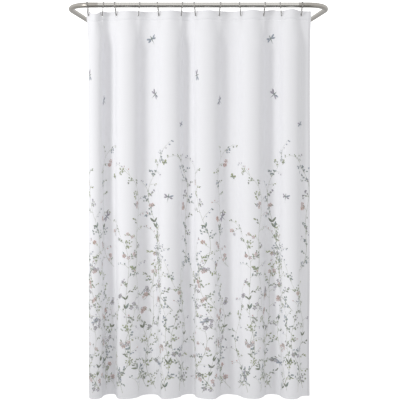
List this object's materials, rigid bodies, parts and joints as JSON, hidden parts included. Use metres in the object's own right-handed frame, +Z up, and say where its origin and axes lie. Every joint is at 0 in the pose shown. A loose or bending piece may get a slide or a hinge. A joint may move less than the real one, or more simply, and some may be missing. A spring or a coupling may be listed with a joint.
{
  "type": "shower curtain",
  "caption": "Gathered cloth shower curtain with a printed lower half, hung by wire hooks from a U-shaped wall-mounted rod.",
  "frame": {"origin": "on the wall, midway between the two flanges, at the height of the rod's axis", "axes": "+Z up, +X along the rod to the right as seen from the front, -Y out from the wall towards the viewer"},
  "size_m": [1.3234, 1.3871, 1.889],
  "materials": {
    "rod_nickel": "brushed nickel plate",
    "cover_nickel": "brushed nickel plate",
    "sleeve_steel": "bare drawn steel",
    "bracket_zinc": "as cast",
    "screw_steel": "zinc plated",
    "hook_wire": "bright plated wire",
    "curtain_cloth": "fine plain-weave polyester with a printed pattern",
    "header_tape": "stiff woven tape"
  },
  "bodies": {
    "rod": {"rod_front": "rod_nickel", "rod_return_left": "rod_nickel", "rod_coupler_left": "sleeve_steel", "coupler_screw_front_left": "screw_steel", "coupler_screw_return_left": "screw_steel", "wall_bracket_left": "bracket_zinc", "bracket_screw_left": "screw_steel", "flange_cover_left": "cover_nickel", "wall_screw_left_1": "screw_steel", "wall_screw_left_2": "screw_steel", "wall_screw_left_3": "screw_steel", "rod_return_right": "rod_nickel", "rod_coupler_right": "sleeve_steel", "coupler_screw_front_right": "screw_steel", "coupler_screw_return_right": "screw_steel", "wall_bracket_right": "bracket_zinc", "bracket_screw_right": "screw_steel", "flange_cover_right": "cover_nickel", "wall_screw_right_1": "screw_steel", "wall_screw_right_2": "screw_steel", "wall_screw_right_3": "screw_steel"},
    "curtain": {"curtain_panel": "curtain_cloth", "header_tape": "header_tape", "bottom_hem": "curtain_cloth", "side_hem_left": "curtain_cloth", "side_hem_right": "curtain_cloth", "hook_01": "hook_wire"},
    "hook_02": {"hook_02": "hook_wire"},
    "hook_03": {"hook_03": "hook_wire"},
    "hook_04": {"hook_04": "hook_wire"},
    "hook_05": {"hook_05": "hook_wire"},
    "hook_06": {"hook_06": "hook_wire"},
    "hook_07": {"hook_07": "hook_wire"},
    "hook_08": {"hook_08": "hook_wire"},
    "hook_09": {"hook_09": "hook_wire"},
    "hook_10": {"hook_10": "hook_wire"},
    "hook_11": {"hook_11": "hook_wire"},
    "hook_12": {"hook_12": "hook_wire"}
  },
  "joints": [
    {"name": "curtain_swing", "type": "hinge", "parent": "rod", "child": "curtain", "pos_m": [0, -1.3, 0], "axis": [1, 0, 0], "range_deg": [-15, 15]},
    {"name": "gather", "type": "slide", "parent": "curtain", "child": "hook_12", "axis": [-1, 0, 0], "range_m": [0, 0.741], "deforming": ["curtain_panel", "header_tape", "bottom_hem", "side_hem_left", "side_hem_right"]},
    {"name": "hook_02_slide", "type": "slide", "parent": "curtain", "child": "hook_02", "axis": [-1, 0, 0], "range_m": [0, 0.0531]},
    {"name": "hook_03_slide", "type": "slide", "parent": "curtain", "child": "hook_03", "axis": [-1, 0, 0], "range_m": [0, 0.0967]},
    {"name": "hook_04_slide", "type": "slide", "parent": "curtain", "child": "hook_04", "axis": [-1, 0, 0], "range_m": [0, 0.1782]},
    {"name": "hook_05_slide", "type": "slide", "parent": "curtain", "child": "hook_05", "axis": [-1, 0, 0], "range_m": [0, 0.244]},
    {"name": "hook_06_slide", "type": "slide", "parent": "curtain", "child": "hook_06", "axis": [-1, 0, 0], "range_m": [0, 0.3262]},
    {"name": "hook_07_slide", "type": "slide", "parent": "curtain", "child": "hook_07", "axis": [-1, 0, 0], "range_m": [0, 0.3714]},
    {"name": "hook_08_slide", "type": "slide", "parent": "curtain", "child": "hook_08", "axis": [-1, 0, 0], "range_m": [0, 0.458]},
    {"name": "hook_09_slide", "type": "slide", "parent": "curtain", "child": "hook_09", "axis": [-1, 0, 0], "range_m": [0, 0.5283]},
    {"name": "hook_10_slide", "type": "slide", "parent": "curtain", "child": "hook_10", "axis": [-1, 0, 0], "range_m": [0, 0.612]},
    {"name": "hook_11_slide", "type": "slide", "parent": "curtain", "child": "hook_11", "axis": [-1, 0, 0], "range_m": [0, 0.669]}
  ],
  "couplings": [
    {"joint": "hook_02_slide", "follows": "gather", "ratio": 0.07093},
    {"joint": "hook_03_slide", "follows": "gather", "ratio": 0.12987},
    {"joint": "hook_04_slide", "follows": "gather", "ratio": 0.23976},
    {"joint": "hook_05_slide", "follows": "gather", "ratio": 0.32867},
    {"joint": "hook_06_slide", "follows": "gather", "ratio": 0.43956},
    {"joint": "hook_07_slide", "follows": "gather", "ratio": 0.5005},
    {"joint": "hook_08_slide", "follows": "gather", "ratio": 0.61738},
    {"joint": "hook_09_slide", "follows": "gather", "ratio": 0.71229},
    {"joint": "hook_10_slide", "follows": "gather", "ratio": 0.82517},
    {"joint": "hook_11_slide", "follows": "gather", "ratio": 0.9021}
  ]
}
